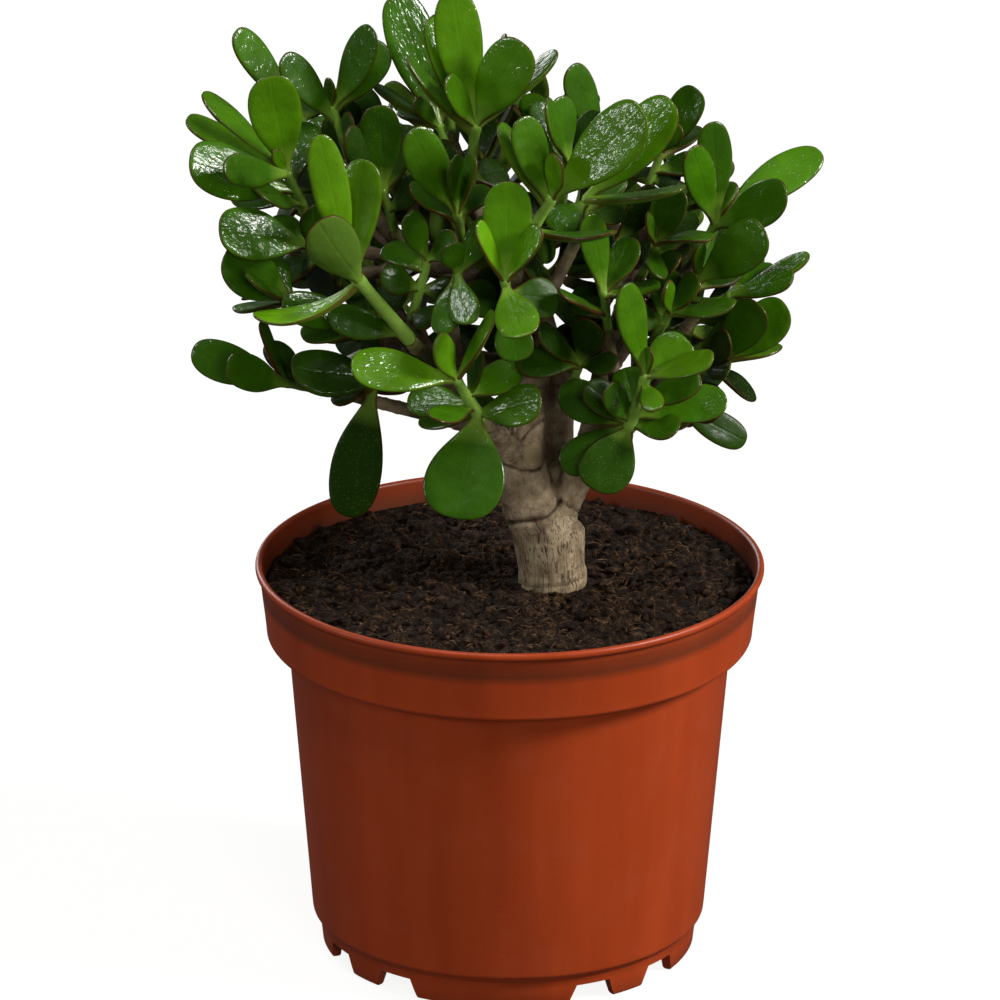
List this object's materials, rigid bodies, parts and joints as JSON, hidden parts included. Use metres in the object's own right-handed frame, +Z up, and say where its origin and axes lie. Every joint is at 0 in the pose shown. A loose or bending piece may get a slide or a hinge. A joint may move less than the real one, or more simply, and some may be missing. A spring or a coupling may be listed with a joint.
{
  "type": "potted jade plant",
  "caption": "Bushy potted succulent with thick spoon-shaped leaves on forked woody stems, in a round tapered nursery pot with a deep collar and notched feet.",
  "frame": {"origin": "on the pot's axis at floor level, under the middle of the whole plant", "axes": "+Z up along the pot's axis, -Y towards the front, +X to the right as seen from the front"},
  "size_m": [0.2595, 0.2103, 0.4174],
  "materials": {
    "pot": "satin moulded terracotta-brown polypropylene",
    "soil": "matt fibrous dark peat",
    "bark": "matt grey-brown bark with fine cracks and ring scars",
    "leaf": "glossy waxy green with a thin red-brown margin"
  },
  "bodies": {
    "root": {"pot": "pot", "soil": "soil", "trunk": "bark", "shoot_left_crest": "leaf", "shoot_left_far_top": "leaf", "shoot_left_top": "leaf", "shoot_left_shelf": "leaf", "shoot_left_low": "leaf", "shoot_front_left": "leaf", "shoot_left_arm": "leaf", "shoot_left_skirt": "leaf", "shoot_left_inner": "leaf", "shoot_left_middle": "leaf", "shoot_left_stem": "leaf", "shoot_left_droop": "leaf", "shoot_centre_left": "leaf", "shoot_upper_left": "leaf", "shoot_top_centre": "leaf", "shoot_top_left": "leaf", "shoot_front_centre": "leaf", "shoot_centre_high": "leaf", "shoot_right_high": "leaf", "shoot_mid_high": "leaf", "shoot_high_right": "leaf", "shoot_upper_right": "leaf", "shoot_middle_right": "leaf", "shoot_right_inner": "leaf", "shoot_right_mid": "leaf", "shoot_right_out": "leaf", "shoot_right_crown": "leaf", "shoot_right_tip": "leaf", "shoot_right_low": "leaf", "shoot_front_right": "leaf", "shoot_right_skirt": "leaf", "shoot_middle": "leaf", "shoot_inner_1": "leaf", "shoot_inner_2": "leaf", "shoot_inner_3": "leaf", "shoot_inner_4": "leaf", "shoot_inner_5": "leaf", "shoot_inner_6": "leaf", "shoot_inner_7": "leaf", "shoot_inner_8": "leaf", "shoot_inner_9": "leaf", "shoot_far_1": "leaf", "shoot_far_2": "leaf", "shoot_far_3": "leaf", "shoot_far_4": "leaf", "shoot_far_5": "leaf", "shoot_far_6": "leaf", "shoot_far_7": "leaf", "shoot_far_8": "leaf", "shoot_far_9": "leaf", "shoot_far_10": "leaf", "shoot_far_11": "leaf", "shoot_far_12": "leaf", "shoot_far_13": "leaf", "shoot_far_14": "leaf", "shoot_far_15": "leaf"}
  },
  "joints": []
}
